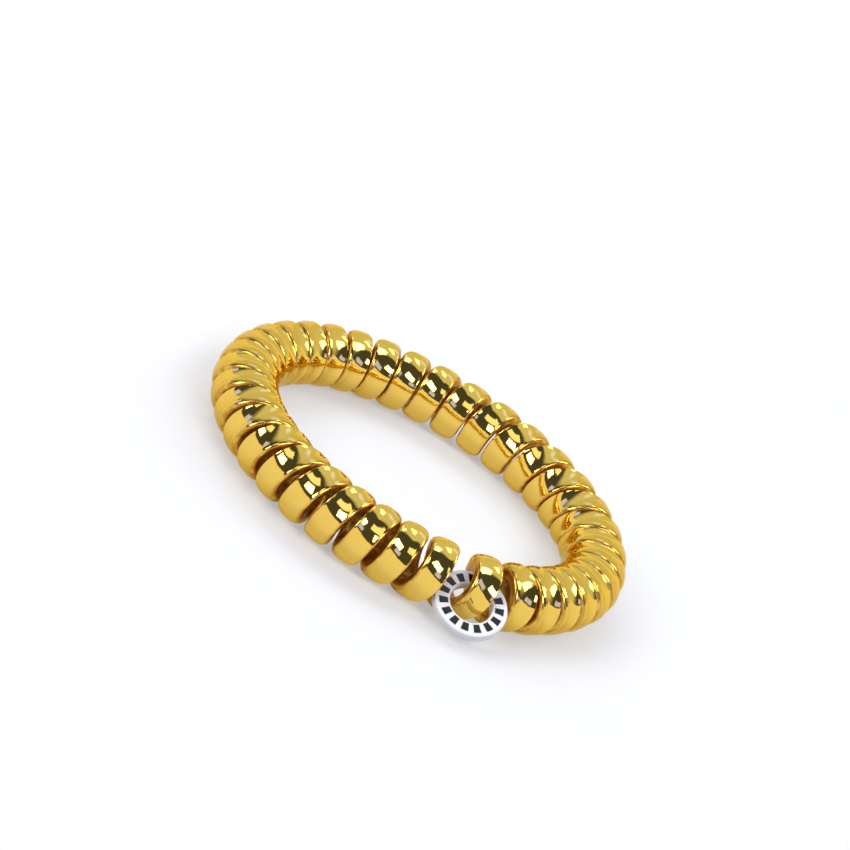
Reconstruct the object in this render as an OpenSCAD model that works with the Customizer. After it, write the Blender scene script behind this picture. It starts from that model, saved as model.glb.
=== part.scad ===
// Spiral hair tie with a tag ring.
// One closed cord winds round and round a ring, and one of its turns passes through a small flat ring.
// The tie lies flat: the origin is on the surface it lies on, under the middle of the ring, and +Z is up.
// -Y is the near side, where the tag ring is.

/* [Ring] */
// Distance from the middle of the ring to the middle of the coil
ring_radius = 21.4; // [19:0.1:30]
// How far the ring is drawn out along X, as a part of its radius
ring_oval = 0.03; // [0:0.01:0.06]

/* [Coil] */
// Outer diameter of the coil
coil_d = 7.4; // [6.6:0.1:7.5]
// Number of turns round the whole ring
turns = 37; // [33:1:37]

/* [Cord] */
// Width of the cord on the outside of the ring, where its turns have room
cord_w = 3.05; // [2.5:0.05:3.1]
// Width of the cord on the inside of the ring, where its turns have room
cord_w_inside = 3.5; // [2.5:0.05:3.6]
// Gap kept between turns that crowd together, where the cord gets narrower
turn_gap = 0.06; // [0.05:0.01:0.2]
// Thickness of the cord
cord_t = 2.0; // [1.2:0.1:2.4]
// Squareness of the cord's section, where 2 is an ellipse
cord_squareness = 2.6; // [2:0.1:4]

/* [Turn spacing] */
// Angle round the ring, ahead of +X, at which the first turn starts
first_turn_angle = 25.7; // [0:0.1:40]
// Angle that the tag ring pushes the turns apart to either side of it
tag_spread = 6.3; // [0:0.1:6.5]
// Angle round the ring over which that push fades
tag_spread_reach = 7.7; // [7:0.1:12]
// How far the turns lean, twist and shift askew, as a part of what they do in the relaxed tie
turn_askew = 1; // [0:0.05:1.1]

/* [Tag ring] */
// Outer diameter of the tag ring
tag_d = 8.1; // [7.5:0.1:8.1]
// Diameter of the hole in the tag ring
tag_hole_d = 4.6; // [4.6:0.1:5]
// Thickness of the tag ring
tag_t = 1.1; // [0.8:0.1:1.1]
// Radius of the tag ring's rounded edges
tag_edge_r = 0.25; // [0.1:0.05:0.4]

/* [Hidden] */

// Each turn is made of this many steps, and the cord's section has this many sides
steps_per_turn = 16;
section_sides = 10;
step_count = turns * steps_per_turn;

coil_r = coil_d / 2;
cord_path_r = coil_r - cord_t / 2;

// The turns crowd together on one side of the ring and open out on the other.
// Each row is a slow wave of that drift, in degrees round the ring.
spacing_drift = [
    // waves round the ring, cosine part, sine part
    [1, -4.74, 1.88],
    [2, -1.67, 0.67],
    [3, -0.44, 0.93]
];

// Angle that the top of a turn leans forward along the ring, and its bottom back, as waves of the same kind
top_lean = [
    [0, -0.34, 0],
    [1, -3.01, 0.44],
    [2, -0.57, -1.36]
];

// Angle that the outer side of a turn is twisted forward along the ring, and its inner side back
outside_twist = [
    [0, -0.25, 0],
    [1, 1.23, -0.55]
];

// Angle that the bottom of a turn is shifted forward along the ring
bottom_shift = [
    [0, -0.14, 0],
    [1, -0.93, -0.31],
    [2, 0.33, -1.3],
    [3, 1.15, 0.21],
    [4, -0.06, 0.49]
];

// The turn that passes through the tag ring, counted from the first
tag_turn = 28;

// Middle of the tag ring, and the direction of its face: round from +X, and up from the surface
tag_place = [11.45, -20.75, 3.04];
tag_face_angle = -90.7;
tag_face_lift = 64.5;

tag_angle = 360 * tag_turn / turns;

// Angle folded to between -180 and 180 degrees
function fold(angle) = angle - 360 * floor((angle + 180) / 360);

// Sum of slow waves at one angle round the ring
function sum_of(waves, angle, i = 0) =
    i == len(waves) ? 0 :
    let (wave = waves[i])
    wave[1] * cos(wave[0] * angle) + wave[2] * sin(wave[0] * angle) + sum_of(waves, angle, i + 1);

// Turns on either side of the tag ring move away from it, and the rest close up to make room
function spread(away) = tag_spread
    * (away / norm([away, tag_spread_reach]) - away / norm([180, tag_spread_reach]));

// Angle round the ring of the middle of the coil after a number of turns
function coil_angle(turn) =
    let (even = 360 * turn / turns)
    even + first_turn_angle + sum_of(spacing_drift, even) + spread(fold(even - tag_angle));

// Angle round the ring that the cord itself has reached after a number of turns
function azimuth(turn) =
    let (angle = coil_angle(turn))
    angle + turn_askew * (sum_of(top_lean, angle) * sin(360 * turn)
        + sum_of(outside_twist, angle) * cos(360 * turn)
        + sum_of(bottom_shift, angle) * (1 - sin(360 * turn)) / 2);

// Middle line of the ring, and the level direction out of the ring at each angle
function ring_point(angle) =
    let (reach = ring_radius * (1 + ring_oval * cos(2 * angle)))
    [reach * cos(angle), reach * sin(angle), coil_r];
function ring_outward(angle) =
    let (along = ring_point(angle + 0.01) - ring_point(angle - 0.01))
    [along.y, -along.x, 0] / norm(along);

// Direction from the middle of the coil to the cord: a turn starts on the outside of the ring,
// then passes over the top, down the inside and back along the bottom
function coil_outward(turn) =
    cos(360 * turn) * ring_outward(azimuth(turn)) + [0, 0, sin(360 * turn)];

// Middle line of the cord, and its direction
function cord_point(turn) = ring_point(azimuth(turn)) + cord_path_r * coil_outward(turn);
function cord_direction(turn) =
    let (ahead = cord_point(turn + 0.0005) - cord_point(turn - 0.0005))
    ahead / norm(ahead);

// Width of the cord, which gets narrower where the turns before and after it come close
function cord_width(turn, across) =
    let (
        inwards = pow((1 - cos(360 * turn)) / 2, 2),
        roomy = cord_w + (cord_w_inside - cord_w) * inwards,
        before = abs(across * (cord_point(turn) - cord_point(turn - 1))),
        after = abs(across * (cord_point(turn + 1) - cord_point(turn)))
    )
    min(roomy, 0.975 * min(before, after) - turn_gap);

// Half of a rounded square's reach along one axis
function rounded(part) = sign(part) * pow(abs(part), 2 / cord_squareness) / 2;

// Corners of the cord's section, level with the coil on its outer and inner faces
function cord_section(turn) =
    let (
        direction = cord_direction(turn),
        tilted = coil_outward(turn),
        square = tilted - (tilted * direction) * direction,
        out = square / norm(square),
        across = cross(direction, out),
        width = cord_width(turn, across)
    )
    [for (side = [0 : section_sides - 1])
        let (around = 360 * side / section_sides)
        cord_point(turn) + cord_t * rounded(cos(around)) * out + width * rounded(sin(around)) * across];

// Corner of the swept cord, with the last step joined to the first
function corner(step, side) = (step % step_count) * section_sides + side % section_sides;

module spiral_coil() {
    corners = [for (step = [0 : step_count - 1]) each cord_section(step / steps_per_turn)];
    faces = [for (step = [0 : step_count - 1], side = [0 : section_sides - 1]) each [
        [corner(step, side), corner(step + 1, side + 1), corner(step, side + 1)],
        [corner(step, side), corner(step + 1, side), corner(step + 1, side + 1)]
    ]];
    color([0.83, 0.66, 0.26])
        polyhedron(points = corners, faces = faces, convexity = 12);
}

// A flat washer with rounded edges, standing askew on the turn that it holds
module tag_ring() {
    hole_r = tag_hole_d / 2;
    rim_w = tag_d / 2 - hole_r;
    color([0.93, 0.93, 0.90, 0.6])
        translate(tag_place)
            rotate([0, 90 - tag_face_lift, tag_face_angle])
                rotate_extrude($fn = 96)
                    translate([hole_r, -tag_t / 2])
                        rounded_bar(rim_w, tag_t, tag_edge_r);
}

// Rectangle with round corners
module rounded_bar(w, h, r) {
    translate([r, 0])
        square([w - 2 * r, h]);
    translate([0, r])
        square([w, h - 2 * r]);
    for (x = [r, w - r], y = [r, h - r])
        translate([x, y])
            circle(r, $fn = 24);
}

spiral_coil();
tag_ring();
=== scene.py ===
# Looks of a spiral hair tie: a mirror-bright gold cord wound round a ring, with a milky tag ring on one turn.
# Lengths are in millimetres while shapes are worked out, and in metres in Blender.
import math

import bpy
import numpy as np
from mathutils import Matrix, Vector


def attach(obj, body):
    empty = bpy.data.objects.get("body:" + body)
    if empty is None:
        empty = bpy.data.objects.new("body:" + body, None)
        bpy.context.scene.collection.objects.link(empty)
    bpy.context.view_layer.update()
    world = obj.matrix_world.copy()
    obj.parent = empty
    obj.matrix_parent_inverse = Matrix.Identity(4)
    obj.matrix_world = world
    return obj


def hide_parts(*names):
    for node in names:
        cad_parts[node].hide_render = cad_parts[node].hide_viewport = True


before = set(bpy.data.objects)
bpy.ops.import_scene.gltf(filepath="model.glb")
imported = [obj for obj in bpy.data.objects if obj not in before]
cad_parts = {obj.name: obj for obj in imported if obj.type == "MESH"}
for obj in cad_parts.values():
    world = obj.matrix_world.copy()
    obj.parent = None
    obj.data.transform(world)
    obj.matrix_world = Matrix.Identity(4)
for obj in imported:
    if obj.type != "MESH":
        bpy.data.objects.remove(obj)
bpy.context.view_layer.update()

MM = 0.001

# The ring and its turns, as the part has them
RING_RADIUS = 21.4
RING_OVAL = 0.03
COIL_D = 7.4
TURNS = 37
# Width of the cord where its turns have room, on the outside and on the inside of the ring
CORD_W = 3.05
CORD_W_INSIDE = 3.5
# Gap kept between crowded turns, and the share of their spacing that is left for cord and gap
TURN_GAP = 0.06
ROOM_SHARE = 0.975
CORD_T = 2.0
CORD_SQUARENESS = 2.6
FIRST_TURN_ANGLE = 25.7
TAG_SPREAD = 6.3
TAG_SPREAD_REACH = 7.7
TAG_TURN = 28

# Slow waves round the ring, as the part has them: waves, cosine part, sine part
SPACING_DRIFT = [(1, -4.74, 1.88), (2, -1.67, 0.67), (3, -0.44, 0.93)]
TOP_LEAN = [(0, -0.34, 0), (1, -3.01, 0.44), (2, -0.57, -1.36)]
OUTSIDE_TWIST = [(0, -0.25, 0), (1, 1.23, -0.55)]
BOTTOM_SHIFT = [(0, -0.14, 0), (1, -0.93, -0.31), (2, 0.33, -1.3), (3, 1.15, 0.21), (4, -0.06, 0.49)]

# The tag ring, as the part has it
TAG_D = 8.1
TAG_HOLE_D = 4.6
TAG_T = 1.1
TAG_EDGE_R = 0.25
TAG_PLACE = Vector((11.45, -20.75, 3.04))
TAG_FACE_ANGLE = -90.7
TAG_FACE_LIFT = 64.5

# The outline of the cord is round, but the shading normals of its outer face are those of a face that is
# slightly hollow across, which fits the reflections in the photograph. Their slant grows outwards at a rate
# that would give this angle at this share of the half width, and turns to the outline's own between the
# next two shares, so it stays a little under this angle.
HOLLOW_ANGLE = 18.0
HOLLOW_SHARE = 0.84
HOLLOW_END = 0.76
OUTLINE_START = 1.0

# Dashes on the tag ring: how many, the share of each step that is dark, and the row's radius and height
DASHES = 15
DASH_SHARE = 0.58
DASH_ROW_R = 3.08
DASH_HEIGHT = 0.98

# Fineness of the meshes
STEPS_PER_TURN = 72
SECTION_SIDES = 34
TAG_SIDES = 160
TAG_EDGE_STEPS = 6

# Steps for finding directions: in degrees round the ring, and in turns of the cord
SMALL_ANGLE = 0.01
SMALL_TURN = 0.0005

# Half the side of the floor, in metres
FLOOR_HALF = 3

# The camera, as fitted to the photograph, which is 850 pixels square
IMAGE_SIDE = 850
CAMERA_ELEVATION = 24.15
CAMERA_ROLL = 31.87
CAMERA_DISTANCE = 265.36
FOCAL_PIXELS = 2396.9
CENTRE_PIXEL = (422.0, 471.9)
SENSOR = 36.0


def fold(angle):
    return angle - 360 * np.floor((angle + 180) / 360)


def sum_of(waves, angle):
    a = np.radians(angle)
    return sum(cosine * np.cos(wave * a) + sine * np.sin(wave * a) for wave, cosine, sine in waves)


def coil_angle(turn):
    """Angle round the ring of the middle of the coil after a number of turns."""
    even = 360 * turn / TURNS
    away = fold(even - 360 * TAG_TURN / TURNS)
    reach = TAG_SPREAD_REACH
    spread = TAG_SPREAD * (away / np.hypot(away, reach) - away / np.hypot(180, reach))
    return even + FIRST_TURN_ANGLE + sum_of(SPACING_DRIFT, even) + spread


def azimuth(turn):
    """Angle round the ring that the cord itself has reached, with the lean and twist of its turn."""
    angle = coil_angle(turn)
    round_turn = 2 * np.pi * turn
    lean = sum_of(TOP_LEAN, angle) * np.sin(round_turn)
    twist = sum_of(OUTSIDE_TWIST, angle) * np.cos(round_turn)
    return angle + lean + twist + sum_of(BOTTOM_SHIFT, angle) * (1 - np.sin(round_turn)) / 2


def ring_point(angle):
    a = np.radians(angle)
    reach = RING_RADIUS * (1 + RING_OVAL * np.cos(2 * a))
    return np.stack([reach * np.cos(a), reach * np.sin(a), np.full_like(a, COIL_D / 2)], -1)


def unit(vectors):
    return vectors / np.linalg.norm(vectors, axis=-1, keepdims=True)


def coil_outward(turn):
    """Direction from the middle of the coil to the cord."""
    angle = azimuth(turn)
    along = ring_point(angle + SMALL_ANGLE) - ring_point(angle - SMALL_ANGLE)
    outward = unit(np.stack([along[..., 1], -along[..., 0], 0 * along[..., 0]], -1))
    up = np.array([0.0, 0.0, 1.0])
    round_turn = 2 * np.pi * turn
    return np.cos(round_turn)[..., None] * outward + np.sin(round_turn)[..., None] * up


def cord_point(turn):
    return ring_point(azimuth(turn)) + (COIL_D - CORD_T) / 2 * coil_outward(turn)


def smooth_step(value, low, high):
    t = np.clip((value - low) / (high - low), 0, 1)
    return t * t * (3 - 2 * t)


def cord_section():
    """Shares of the half width and half thickness at the section's corners, as the part has them."""
    side = 2 * np.pi * np.arange(SECTION_SIDES) / SECTION_SIDES
    power = 2 / CORD_SQUARENESS
    across = np.sign(np.sin(side)) * np.abs(np.sin(side)) ** power
    out = np.sign(np.cos(side)) * np.abs(np.cos(side)) ** power
    return across, out


def mirror_slant(across, out, half_width):
    """Angle between the shading normal and the way straight out of the coil, for each corner."""
    power = CORD_SQUARENESS - 1
    reach = np.sign(across) * np.abs(across) ** power / half_width
    rise = np.sign(out) * np.abs(out) ** power / (CORD_T / 2)
    outline = np.arctan2(reach, rise)
    hollow = -np.radians(HOLLOW_ANGLE) * across / HOLLOW_SHARE
    from_outline = smooth_step(np.abs(across), HOLLOW_END, OUTLINE_START)
    from_outline = np.where(out > 0, from_outline, 1)
    return hollow + (outline - hollow) * from_outline


def mesh_object(name, points, faces):
    mesh = bpy.data.meshes.new(name)
    mesh.from_pydata([tuple(p) for p in points], [], faces)
    mesh.polygons.foreach_set("use_smooth", [True] * len(mesh.polygons))
    mesh.update()
    piece = bpy.data.objects.new(name, mesh)
    bpy.context.scene.collection.objects.link(piece)
    return piece


def grid_faces(rows, columns):
    """Quads of a closed tube of so many rings and sides, facing outwards."""
    faces = []
    for i in range(rows):
        for k in range(columns):
            after = (i + 1) % rows
            beside = (k + 1) % columns
            here = i * columns
            ahead = after * columns
            faces.append((here + k, here + beside, ahead + beside, ahead + k))
    return faces


def make_coil():
    """The endless cord, swept along its path round the ring."""
    steps = TURNS * STEPS_PER_TURN
    turn = np.arange(steps) / STEPS_PER_TURN
    point = cord_point(turn)
    direction = unit(cord_point(turn + SMALL_TURN) - cord_point(turn - SMALL_TURN))
    tilted = coil_outward(turn)
    out = unit(tilted - (tilted * direction).sum(-1, keepdims=True) * direction)
    across = np.cross(direction, out)
    before = np.abs((across * (point - cord_point(turn - 1))).sum(-1))
    after = np.abs((across * (cord_point(turn + 1) - point)).sum(-1))
    inwards = ((1 - np.cos(2 * np.pi * turn)) / 2) ** 2
    roomy = CORD_W + (CORD_W_INSIDE - CORD_W) * inwards
    width = np.minimum(roomy, ROOM_SHARE * np.minimum(before, after) - TURN_GAP)
    reach, rise = cord_section()
    half = width[:, None] / 2
    corners = point[:, None, :] + (reach * half)[..., None] * across[:, None, :]
    corners = corners + (rise * CORD_T / 2)[None, :, None] * out[:, None, :]
    slant = mirror_slant(reach, rise, half)[..., None]
    faces_out = np.sin(slant) * across[:, None, :] + np.cos(slant) * out[:, None, :]
    piece = mesh_object("gold_coil", corners.reshape(-1, 3) * MM, grid_faces(steps, SECTION_SIDES))
    piece.data.normals_split_custom_set_from_vertices([tuple(n) for n in faces_out.reshape(-1, 3)])
    mark = piece.data.attributes.new("rim", "FLOAT", "POINT")
    rim = np.where(rise > 0, np.abs(reach), 2 - np.abs(reach))
    mark.data.foreach_set("value", np.tile(rim, steps))
    return piece


def make_tag():
    """A flat washer with rounded edges."""
    outer = TAG_D / 2 - TAG_EDGE_R
    inner = TAG_HOLE_D / 2 + TAG_EDGE_R
    top = TAG_T / 2 - TAG_EDGE_R
    profile = []
    corners = ((outer, top, 90), (outer, -top, 0), (inner, -top, -90), (inner, top, -180))
    for corner_r, corner_z, start in corners:
        for step in range(TAG_EDGE_STEPS + 1):
            a = math.radians(start - 90 / TAG_EDGE_STEPS * step)
            profile.append((corner_r + TAG_EDGE_R * math.cos(a), corner_z + TAG_EDGE_R * math.sin(a)))
    points = []
    for i in range(TAG_SIDES):
        a = 2 * math.pi * i / TAG_SIDES
        points += [(r * math.cos(a), r * math.sin(a), z) for r, z in profile]
    piece = mesh_object("tag_washer", np.array(points) * MM, grid_faces(TAG_SIDES, len(profile)))
    mark = piece.data.attributes.new("washer_place", "FLOAT_VECTOR", "POINT")
    mark.data.foreach_set("vector", np.array(points).ravel())
    lifted = Matrix.Rotation(math.radians(90 - TAG_FACE_LIFT), 4, "Y")
    turned = Matrix.Rotation(math.radians(TAG_FACE_ANGLE), 4, "Z") @ lifted
    piece.data.transform(Matrix.Translation(TAG_PLACE * MM) @ turned)
    return piece


coil = make_coil()
tag = make_tag()


class Nodes:
    """A node tree under way, with short names for the nodes that both the materials and the studio need."""

    def __init__(self, tree):
        self.nodes = tree.nodes
        self.links = tree.links

    def put(self, socket, value):
        if hasattr(value, "is_output"):
            self.links.new(value, socket)
        else:
            socket.default_value = value

    def math(self, operation, *values):
        node = self.nodes.new("ShaderNodeMath")
        node.operation = operation
        for socket, value in zip(node.inputs, values):
            self.put(socket, value)
        return node.outputs[0]

    def ramp(self, value, low, high, start=0.0, end=1.0):
        node = self.nodes.new("ShaderNodeMapRange")
        node.interpolation_type = "SMOOTHSTEP"
        settings = {"Value": value, "From Min": low, "From Max": high, "To Min": start, "To Max": end}
        for name, given in settings.items():
            self.put(node.inputs[name], given)
        return node.outputs["Result"]

    def mix(self, share, first, second):
        node = self.nodes.new("ShaderNodeMix")
        node.data_type = "RGBA"
        self.put(node.inputs["Factor"], share)
        for socket, colour in ((node.inputs[6], first), (node.inputs[7], second)):
            self.put(socket, (*colour, 1) if isinstance(colour, tuple) else colour)
        return node.outputs[2]


class Surface(Nodes):
    """A material under way."""

    def __init__(self, name):
        self.made = bpy.data.materials.new(name)
        self.made.use_nodes = True
        super().__init__(self.made.node_tree)
        self.shader = self.nodes["Principled BSDF"]

    def set(self, name, value):
        self.put(self.shader.inputs[name], value)

    def attribute(self, name, output):
        node = self.nodes.new("ShaderNodeAttribute")
        node.attribute_name = name
        return node.outputs[output]

    def noise(self, scale, detail=2.0):
        place = self.nodes.new("ShaderNodeTexCoord")
        node = self.nodes.new("ShaderNodeTexNoise")
        node.inputs["Scale"].default_value = scale
        node.inputs["Detail"].default_value = detail
        self.links.new(place.outputs["Object"], node.inputs["Vector"])
        return node.outputs[0]

    def bump(self, height, distance):
        node = self.nodes.new("ShaderNodeBump")
        node.inputs["Distance"].default_value = distance
        self.links.new(height, node.inputs["Height"])
        self.links.new(node.outputs[0], self.shader.inputs["Normal"])


def gold():
    """Mirror gold on the outer face, and duller amber on the rims and where the cord faces inwards; that
    amber is partly the cord's own and partly painted reflection of the neighbouring turns and painted shade
    between them.
    """
    surface = Surface("gold_cord")
    rim = surface.attribute("rim", "Fac")
    fine = surface.noise(1400)
    mottle = surface.ramp(surface.noise(1000, 4.0), 0.4, 0.65)
    bright = surface.mix(fine, (0.83, 0.55, 0.105), (0.86, 0.58, 0.12))
    # Painted reflection and shade: the mottled amber on the rims and the deeper amber on the inward faces
    # stand in partly for light bounced between neighbouring turns and shade in the gaps between them.
    rim_amber_and_painted_bounce = surface.mix(mottle, (0.50, 0.25, 0.04), (0.80, 0.48, 0.08))
    inward_amber_and_painted_shade = surface.mix(mottle, (0.46, 0.23, 0.04), (0.90, 0.57, 0.12))
    colour = surface.mix(surface.ramp(rim, 0.78, 0.96), bright, rim_amber_and_painted_bounce)
    surface.set("Base Color", surface.mix(surface.ramp(rim, 1.0, 1.3), colour, inward_amber_and_painted_shade))
    surface.set("Specular Tint", (0.90, 0.74, 0.42, 1))
    inwards = surface.ramp(rim, 0.95, 1.2)
    surface.set("Metallic", surface.math("SUBTRACT", 1.0, surface.math("MULTIPLY", inwards, 0.65)))
    surface.set("Roughness", surface.ramp(rim, 0.78, 1.0, 0.055, 0.3))
    crinkle = surface.math("MULTIPLY", surface.noise(1500, 3.0), surface.ramp(rim, 0.9, 1.1, 0.06, 1.0))
    surface.bump(crinkle, 0.00015)
    return surface.made


def milky():
    """Milky plastic with a greyer outer wall, and short dark dashes on the front face."""
    surface = Surface("milky_plastic")
    place = surface.attribute("washer_place", "Vector")
    split = surface.nodes.new("ShaderNodeSeparateXYZ")
    surface.links.new(place, split.inputs[0])
    x, y, z = split.outputs
    squares = surface.math("ADD", surface.math("MULTIPLY", x, x), surface.math("MULTIPLY", y, y))
    radius = surface.math("SQRT", squares)
    around = surface.math("DIVIDE", surface.math("ARCTAN2", y, x), 2 * math.pi)
    step = surface.math("FRACT", surface.math("MULTIPLY", surface.math("ADD", around, 1.0), DASHES))
    from_middle = surface.math("ABSOLUTE", surface.math("SUBTRACT", step, 0.5))
    long_way = surface.ramp(from_middle, DASH_SHARE / 2 + 0.03, DASH_SHARE / 2 - 0.03)
    from_row = surface.math("ABSOLUTE", surface.math("SUBTRACT", radius, DASH_ROW_R))
    short_way = surface.ramp(from_row, DASH_HEIGHT / 2 + 0.04, DASH_HEIGHT / 2 - 0.04)
    front = surface.ramp(z, TAG_T / 2 - 0.06, TAG_T / 2 - 0.03)
    dash = surface.math("MULTIPLY", surface.math("MULTIPLY", long_way, short_way), front)
    milk = surface.mix(surface.noise(500), (0.70, 0.69, 0.69), (0.78, 0.77, 0.76))
    wall = surface.ramp(radius, TAG_D / 2 - 0.2, TAG_D / 2 - 0.02)
    body = surface.mix(wall, milk, (0.52, 0.53, 0.54))
    surface.set("Base Color", surface.mix(dash, body, (0.004, 0.004, 0.005)))
    surface.set("Roughness", surface.ramp(surface.noise(700), 0.3, 0.7, 0.16, 0.24))
    surface.bump(dash, 0.00006)
    return surface.made


coil.data.materials.append(gold())
tag.data.materials.append(milky())

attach(coil, "root")
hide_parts("spiral_coil")
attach(tag, "root")
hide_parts("tag_ring")

# Floor
floor_corners = [(x * FLOOR_HALF, y * FLOOR_HALF, 0) for x, y in ((-1, -1), (1, -1), (1, 1), (-1, 1))]
floor = mesh_object("floor", floor_corners, [(0, 1, 2, 3)])
pale = Surface("floor_pale")
pale.set("Base Color", (0.42, 0.42, 0.42, 1))
pale.set("Roughness", 0.6)
pale.set("Specular IOR Level", 0.0)
pale.set("Emission Color", (1, 1, 1, 1))
pale.set("Emission Strength", 0.36)
floor.data.materials.append(pale.made)

# A soft light from behind on the left, which the gold doesn't mirror
key = bpy.data.lights.new("key", "SUN")
key.energy = 1.2
key.angle = math.radians(45)
key_light = bpy.data.objects.new("key", key)
bpy.context.scene.collection.objects.link(key_light)
key_light.visible_glossy = False
key_light.rotation_euler = Vector((-0.5, 0.5, 0.75)).to_track_quat("Z", "Y").to_euler()

# Camera, looking at the middle of the ring
elevation = math.radians(CAMERA_ELEVATION)
roll = math.radians(CAMERA_ROLL)
back = Vector((0, -math.cos(elevation), math.sin(elevation)))
level = Vector((1, 0, 0))
upward = back.cross(level)
camera_x = math.cos(roll) * level + math.sin(roll) * upward
camera_y = -math.sin(roll) * level + math.cos(roll) * upward
lens = bpy.data.cameras.new("camera")
camera = bpy.data.objects.new("camera", lens)
bpy.context.scene.collection.objects.link(camera)
place = back * CAMERA_DISTANCE * MM + Vector((0, 0, COIL_D / 2 * MM))
camera.matrix_world = Matrix.Translation(place) @ Matrix((camera_x, camera_y, back)).transposed().to_4x4()
lens.sensor_width = SENSOR
lens.lens = FOCAL_PIXELS / IMAGE_SIDE * SENSOR
lens.shift_x = (IMAGE_SIDE / 2 - CENTRE_PIXEL[0]) / IMAGE_SIDE
lens.shift_y = (CENTRE_PIXEL[1] - IMAGE_SIDE / 2) / IMAGE_SIDE
lens.clip_start = 0.01
lens.clip_end = 20
bpy.context.scene.camera = camera


class World(Nodes):
    """Builds the studio as a brightness by direction, one panel after another."""

    def __init__(self):
        world = bpy.data.worlds.new("studio")
        bpy.context.scene.world = world
        world.use_nodes = True
        super().__init__(world.node_tree)
        self.nodes.clear()
        coordinate = self.nodes.new("ShaderNodeTexCoord")
        split = self.nodes.new("ShaderNodeSeparateXYZ")
        self.links.new(coordinate.outputs["Generated"], split.inputs[0])
        minus_y = self.math("MULTIPLY", split.outputs["Y"], -1.0)
        self.azimuth = self.math("MULTIPLY", self.math("ARCTAN2", split.outputs["X"], minus_y), 180 / math.pi)
        self.elevation = self.math("MULTIPLY", self.math("ARCSINE", split.outputs["Z"]), 180 / math.pi)
        self.colour = None

    def base(self, colour):
        node = self.nodes.new("ShaderNodeRGB")
        node.outputs[0].default_value = (*colour, 1)
        self.colour = node.outputs[0]

    def panel(self, azimuths, elevations, colour, soft=1.5):
        """A panel between two azimuths and two elevations, with soft edges of so many degrees."""
        middle = (azimuths[0] + azimuths[1]) / 2
        half = (azimuths[1] - azimuths[0]) / 2
        turned = self.math("WRAP", self.math("SUBTRACT", self.azimuth, middle), 180.0, -180.0)
        aside = self.math("ABSOLUTE", turned)
        beside = self.ramp(aside, half + soft / 2, half - soft / 2)
        above = self.ramp(self.elevation, elevations[0] - soft / 2, elevations[0] + soft / 2)
        below = self.ramp(self.elevation, elevations[1] + soft / 2, elevations[1] - soft / 2)
        mask = self.math("MULTIPLY", self.math("MULTIPLY", beside, above), below)
        self.colour = self.mix(mask, self.colour, colour)

    def done(self):
        background = self.nodes.new("ShaderNodeBackground")
        output = self.nodes.new("ShaderNodeOutputWorld")
        self.links.new(self.colour, background.inputs["Color"])
        self.links.new(background.outputs[0], output.inputs["Surface"])


# Azimuths are measured from the near side towards +X, in degrees
studio = World()
studio.base((0.07, 0.08, 0.12))
studio.panel((-240, -128), (-10, 95), (0.77, 0.83, 0.90), 26)
studio.panel((-174, -158), (33, 47), (1.0, 1.2, 3.0), 8)
studio.panel((-98, -6), (49, 67), (1.35, 1.42, 1.6), 4)
studio.panel((-74, -37), (25, 43), (9, 9, 9), 3)
studio.panel((20, 62), (35, 52), (9, 9, 9), 3)
studio.panel((116, 140), (32, 58), (7, 7, 7), 4)
studio.panel((165, 182), (48, 66), (4, 4, 4), 5)
studio.panel((-122, -104), (14, 26), (0.75, 0.9, 3.4), 4)
studio.panel((10, 32), (20, 32), (0.7, 0.85, 3.2), 4)
studio.panel((70, 100), (18, 30), (0.7, 0.85, 3.2), 4)
studio.panel((-180, 180), (-95, 14), (1.04, 1.02, 0.96), 1.5)
studio.done()

bpy.context.scene.view_settings.view_transform = "Standard"
